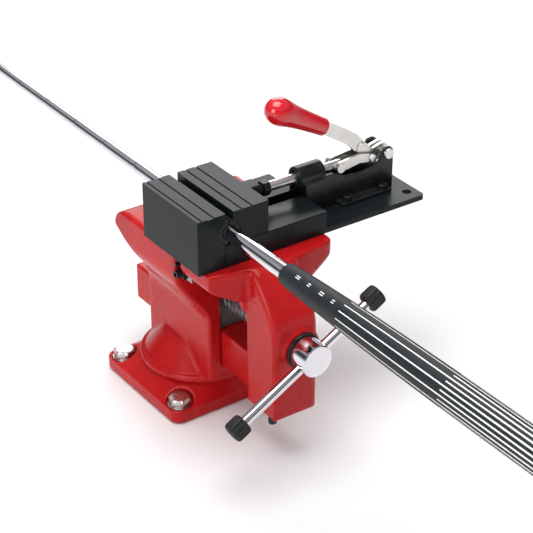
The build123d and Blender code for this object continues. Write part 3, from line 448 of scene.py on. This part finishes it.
# %% [markdown]
# ## The shaft clamp
# The plate, deck, keel and blocks are sawn and milled aluminium, black anodised, with edges broken by
# hand. They keep the CAD shapes with a narrow bevel, because remeshing would soften faces that a
# milling cutter leaves flat. The liners are rubber and only need smooth edges.
# %% Plate, deck, keel, blocks and liners
MILLED = ("fixture_plate", "slide_deck", "keel", "slide_key", "fixed_block", "sliding_block")
for node in MILLED:
    bevelled(node, width=0.45)
bevelled("drive_lug", width=0.8)
for node in ("fixed_liner", "sliding_liner"):
    bevelled(node, width=0.3)
print("milled pieces:", ", ".join(MILLED))

# %% [markdown]
# ## The toggle clamp
# The bracket is a small iron casting, so it is made the casting way with finer faces than the vise. The
# lever and links are stamped from steel plate, whose edges are slightly rounded by the punch. The
# lever's grip is soft vinyl, dipped, so it is all round: remeshed and smoothed until no edge is left.
# %% Bracket, links, lever and its grip
cast("clamp_bracket", voxel=0.5, rounds=9)
bevelled("clamp_lever", width=0.7, segments=3)
bevelled("side_links", width=0.6, segments=3)
cast("lever_grip", voxel=0.6, rounds=6)
CLAMP_PINS = ("plunger", "plunger_pin", "lever_pivot_pin", "crank_pin", "jam_nut", "clamp_spindle")
SMALL_HARDWARE = ("clamp_screws", "keel_end_screws", "bench_washers")
for node in CLAMP_PINS:
    bevelled(node, width=0.35)
for node in SMALL_HARDWARE:
    bevelled(node, width=0.25)
print("turned and small pieces:", ", ".join(CLAMP_PINS + SMALL_HARDWARE))

# %% [markdown]
# ## The club's shaft
# A steel shaft is drawn down in steps. Each step is a short cone, and the polished chrome over it makes
# it show as a small bright ring. Spun with bare corners, the long faces between the steps would be
# shaded as if they bulged, so a few close rings ease each cone into the tube on both sides.
# %% Shaft
shaft_low, shaft_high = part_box("shaft")
CLUB = Vector(((shaft_low.x + shaft_high.x) / 2, 0, (shaft_low.z + shaft_high.z) / 2))
BUTT_R = (shaft_high.z - shaft_low.z) / 2
CONE_START, CONE_LENGTH = -0.189, 0.070
FIRST_STEP, STEP_PITCH, STEP_LENGTH = -0.0175, 0.0564, 0.0025
WALL, TIP_ROUNDING, BORE_DEPTH = 0.0007, 0.0003, 0.03
STEP_RADII = (6.9, 6.2, 5.8, 5.45, 5.15, 4.9, 4.7)
EASE = ((-0.1, 0.0), (0.0, 0.0), (0.12, 0.04), (0.5, 0.5), (0.88, 0.96), (1.0, 1.0), (1.1, 1.0))
shaft_profile = [(shaft_low.y, BUTT_R - WALL), (shaft_low.y, BUTT_R)]
last = BUTT_R
for number, radius in enumerate(STEP_RADII):
    at = CONE_START if number == 0 else FIRST_STEP + (number - 1) * STEP_PITCH
    length = CONE_LENGTH if number == 0 else STEP_LENGTH
    radius = radius * MM
    for part, share in EASE:
        shaft_profile.append((at + part * length, last + (radius - last) * share))
    last = radius
shaft_profile += [(shaft_high.y - TIP_ROUNDING, last), (shaft_high.y, last - TIP_ROUNDING),
                  (shaft_high.y, last - WALL), (shaft_high.y - BORE_DEPTH, last - WALL),
                  (shaft_high.y - BORE_DEPTH, 0.0)]
turned("shaft_turned", shaft_profile, CLUB, ALONG_CLUB, ["shaft"], sides=96, sharp=60)
print("shaft steps down", len(STEP_RADII), "times to", round(2 * last / MM, 1), "mm")

# %% [markdown]
# ## The grip
# The sleeve is moulded rubber. White paint fills fine grooves along it: twelve start below a plain
# neck, and twelve more start between them further down. The grooves are pressed into the mesh and
# the paint is a separate strip over each. Between the grooves the rubber has fine rings for hold. A
# bump texture could show the grooves, but the sleeve's outline would stay smooth.
# %% Sleeve with its grooves
MOUTH, CAP_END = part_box("grip_sleeve")[1].y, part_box("grip_cap")[0].y
LINES = 12
LONG_LINE, SHORT_LINE = -0.279, -0.409
KNOTS = [(MOUTH, 9.9), (MOUTH - 0.040, 11.6), (MOUTH - 0.140, 14.3), (CAP_END + 0.007, 15.5)]


def sleeve_radius(y):
    """The sleeve's outline, a smooth curve through its four measured radii."""
    total = 0.0
    for i, (yi, ri) in enumerate(KNOTS):
        part = ri
        for j, (yj, _) in enumerate(KNOTS):
            if i != j:
                part *= (y - yj) / (yi - yj)
        total += part
    return min(total, KNOTS[-1][1]) * MM


GRIP_SIDES, GRIP_ROWS = 288, 520
GROOVE_HALF, GROOVE_DEPTH = 0.0009, 0.00025
RING_HALF_PITCH, RING_DEPTH, PLAIN_BEFORE_RINGS = 0.0012, 0.00008, 0.003
BORE_R, BORE_SEEN, CAP_SEAM = 0.00766, 0.006, 0.007
MOUTH_FACE_R, MOUTH_OUTER_R, MOUTH_ROUNDING = 0.0092, 0.0098, 0.0006


def grooved(far, radius, angle):
    """Presses the paint grooves and the fine rings into the sleeve."""
    y = CLUB.y + far
    spot = angle / tau * 2 * LINES
    off = abs(spot - round(spot)) / (2 * LINES) * tau * radius
    start = LONG_LINE if round(spot) % 2 == 0 else SHORT_LINE
    if y < start and off < GROOVE_HALF:
        return radius - GROOVE_DEPTH
    if y < LONG_LINE - PLAIN_BEFORE_RINGS:
        return radius - RING_DEPTH * (1 + sin(y / RING_HALF_PITCH * pi))
    return radius


grip_profile = [(MOUTH - BORE_SEEN, BORE_R), (MOUTH, BORE_R), (MOUTH, MOUTH_FACE_R),
                (MOUTH - MOUTH_ROUNDING, MOUTH_OUTER_R)]
for row in range(1, GRIP_ROWS + 1):
    y = MOUTH - MOUTH_ROUNDING + (CAP_END + CAP_SEAM - MOUTH) * row / GRIP_ROWS
    grip_profile.append((y, sleeve_radius(y)))
turned("grip_sleeve_moulded", grip_profile, CLUB, ALONG_CLUB, ["grip_sleeve"], sides=GRIP_SIDES,
       shape=grooved, sharp=70)
CAP_CURVE = [(6.9, 15.5), (5.4, 15.3), (3.8, 14.4), (2.4, 12.6), (1.2, 9.8), (0.5, 6.4), (0.1, 3.0),
             (0.0, 1.6), (1.2, 1.3), (1.2, 0.0)]
turned("grip_cap_moulded", [(CAP_END + far * MM, radius * MM) for far, radius in CAP_CURVE],
       CLUB, ALONG_CLUB, ["grip_cap"], sides=96, sharp=60)
print("grip runs from", round(MOUTH, 3), "to", round(CAP_END, 3), "with", 2 * LINES, "lines")


# %% [markdown]
# Each painted line is a narrow strip that follows the sleeve's outline just above its surface. Small
# plain bars stand near the mouth, where a maker would print something. They are painted the same way.
# One mesh holds them all, so the paint stays a single piece with one finish.
# %% Painted lines and marks
AXIS = Vector(ALONG_CLUB)
ACROSS = AXIS.orthogonal().normalized()
THIRD = AXIS.cross(ACROSS)


def strip(form, angle, y0, y1, widths, lift, pieces):
    """A painted strip along the sleeve at one angle, between two places, that may widen as it goes."""
    pairs = []
    for step in range(pieces + 1):
        share = step / pieces
        y = y0 + (y1 - y0) * share
        reach = sleeve_radius(y) + lift
        half = (widths[0] + (widths[1] - widths[0]) * share) / 2 / reach
        row = []
        for turn in (angle - half, angle, angle + half):
            outward = ACROSS * cos(turn) + THIRD * sin(turn)
            row.append(form.verts.new(CLUB + AXIS * y + outward * reach))
        pairs.append(row)
    for near, far in zip(pairs, pairs[1:]):
        for side in (0, 1):
            form.faces.new((near[side], near[side + 1], far[side + 1], far[side]))


LONG_WIDTHS, SHORT_WIDTHS, MARK_WIDTHS = (0.0009, 0.0015), (0.0011, 0.0015), (0.0009, 0.0009)
LINE_LIFT, MARK_LIFT = 0.00003, 0.00006
LINE_END = CAP_END + 0.008
MARK_LENGTHS, MARK_START, MARK_PITCH, MARK_APART = (5.5, 3.5, 5.5, 3.5), 0.020, 0.0165, 0.085
MARK_SIDE = Vector((-0.5, 0, 0.85))
MARK_TRIES, LINE_PIECES, MARK_PIECES = 72, 80, 8

painted = bmesh.new()
for line in range(2 * LINES):
    start, widths = (LONG_LINE, LONG_WIDTHS) if line % 2 == 0 else (SHORT_LINE, SHORT_WIDTHS)
    strip(painted, tau * line / (2 * LINES), start, LINE_END, widths, LINE_LIFT, LINE_PIECES)
mark_angle = max((tau * step / MARK_TRIES for step in range(MARK_TRIES)),
                 key=lambda turn: (ACROSS * cos(turn) + THIRD * sin(turn)).dot(MARK_SIDE))
for mark, long in enumerate(MARK_LENGTHS):
    y0 = MOUTH - MARK_START - mark * MARK_PITCH
    for beside in (-MARK_APART, MARK_APART):
        strip(painted, mark_angle + beside, y0, y0 - long * MM, MARK_WIDTHS, MARK_LIFT, MARK_PIECES)
settle(new_piece("grip_lines_painted", painted), ["grip_lines"])
print("painted", 2 * LINES, "lines and", 2 * len(MARK_LENGTHS), "marks")

# %% [markdown]
# ## Everything else
# Whatever has no finer piece keeps its CAD mesh and gets its finish. These pieces are small or hidden,
# so a bevel on them would cost faces and show nothing.
# %% Dress the remaining CAD nodes
kept = [name for name, node in NODES.items() if not node.hide_render]
for name in kept:
    dress(name)
print("kept as CAD:", sorted(kept))

# %% [markdown]
# ## Camera
# The camera stands about 1.8 m away to the left, above the club's grip, with a long lens, so the lines
# stay nearly parallel. A wide lens from close up would make the grip look much thicker than the tip.
# %% Camera
scene = bpy.context.scene
lens = bpy.data.cameras.new("camera")
lens.sensor_width = 36
lens.lens = 121.6
lens.clip_start, lens.clip_end = 0.05, 50
CAMERA_SPOT, CAMERA_LOOK = (-0.7895, -1.2426, 0.9751), (0.4945, 0.7089, -0.5031)
camera = bpy.data.objects.new("camera", lens)
camera.location = CAMERA_SPOT
camera.rotation_mode = "QUATERNION"
camera.rotation_quaternion = Vector(CAMERA_LOOK).to_track_quat("-Z", "Y")
scene.collection.objects.link(camera)
scene.camera = camera
scene.view_settings.view_transform = "Standard"
print("camera is", round(Vector(CAMERA_SPOT).length, 2), "m from the vise's base")

# %% [markdown]
# ## Floor
# The vise stands on a plain pale floor, half a millimetre below its base, so that the two faces don't
# flicker through each other. A big sheet is enough, because nothing else is in the setting.
# %% Floor
FLOOR_HALF, FLOOR_DROP, FLOOR_GREY, FLOOR_ROUGHNESS = 6, 0.0005, 0.88, 0.9
floor_form = bmesh.new()
bmesh.ops.create_grid(floor_form, x_segments=2, y_segments=2, size=FLOOR_HALF)
floor = new_piece("floor", floor_form)
floor.location.z = -FLOOR_DROP
pale = bpy.data.materials.new("pale_floor")
pale.use_nodes = True
floor_shader = pale.node_tree.nodes["Principled BSDF"]
floor_shader.inputs["Base Color"].default_value = (FLOOR_GREY, FLOOR_GREY, FLOOR_GREY, 1)
floor_shader.inputs["Roughness"].default_value = FLOOR_ROUGHNESS
floor.data.materials.append(pale)
print("floor is", 2 * FLOOR_HALF, "m wide")

# %% [markdown]
# ## Surround
# Polished metal only looks like metal when it has something to reflect. An even white surround turns
# chrome to chalk, so this one has dark and light bands from the ground up to the sky.
# %% Surround
SURROUND_STRENGTH = 0.85
BANDS = ((0.05, 0.4), (0.12, 0.08), (0.34, 0.08), (0.44, 0.5), (0.62, 0.5), (0.74, 0.22), (0.86, 0.4))
BLUE_TINT = 1.05
world = bpy.data.worlds.new("surround")
scene.world = world
world.use_nodes = True
tree = world.node_tree
direction = tree.nodes.new("ShaderNodeTexCoord")
split = tree.nodes.new("ShaderNodeSeparateXYZ")
shades = tree.nodes.new("ShaderNodeValToRGB")
tree.links.new(direction.outputs["Generated"], split.inputs["Vector"])
tree.links.new(split.outputs["Z"], shades.inputs["Fac"])
tree.links.new(shades.outputs["Color"], tree.nodes["Background"].inputs["Color"])
tree.nodes["Background"].inputs["Strength"].default_value = SURROUND_STRENGTH
ramp = shades.color_ramp
ramp.elements[0].position, ramp.elements[0].color = 0.0, (0.62, 0.62, 0.64, 1)
ramp.elements[1].position, ramp.elements[1].color = 1.0, (0.55, 0.55, 0.58, 1)
for position, grey in BANDS:
    stop = ramp.elements.new(position)
    stop.color = (grey, grey, grey * BLUE_TINT, 1)
print("surround has", len(ramp.elements), "bands")

# %% [markdown]
# ## Light
# Three soft boxes stand where a photographer would put them: a big one overhead, one on the left and
# one behind. Their size, more than their power, makes the shadows soft and the highlights broad.
# %% Soft boxes
LIT_SPOT = Vector((0, 0, 0.12))


def soft_box(name, spot, size, power):
    """A square area light that faces the vise."""
    data = bpy.data.lights.new(name, "AREA")
    data.shape = "SQUARE"
    data.size = size
    data.energy = power
    lamp = bpy.data.objects.new(name, data)
    lamp.location = spot
    lamp.rotation_mode = "QUATERNION"
    lamp.rotation_quaternion = (LIT_SPOT - Vector(spot)).to_track_quat("-Z", "Y")
    scene.collection.objects.link(lamp)


soft_box("overhead", (-0.2, -0.1, 2.4), size=1.8, power=52)
soft_box("left", (-2.2, -0.9, 1.0), size=1.2, power=24)
soft_box("behind", (1.5, 2.1, 1.5), size=1.6, power=26)
print("soft boxes:", ", ".join(light.name for light in bpy.data.lights))
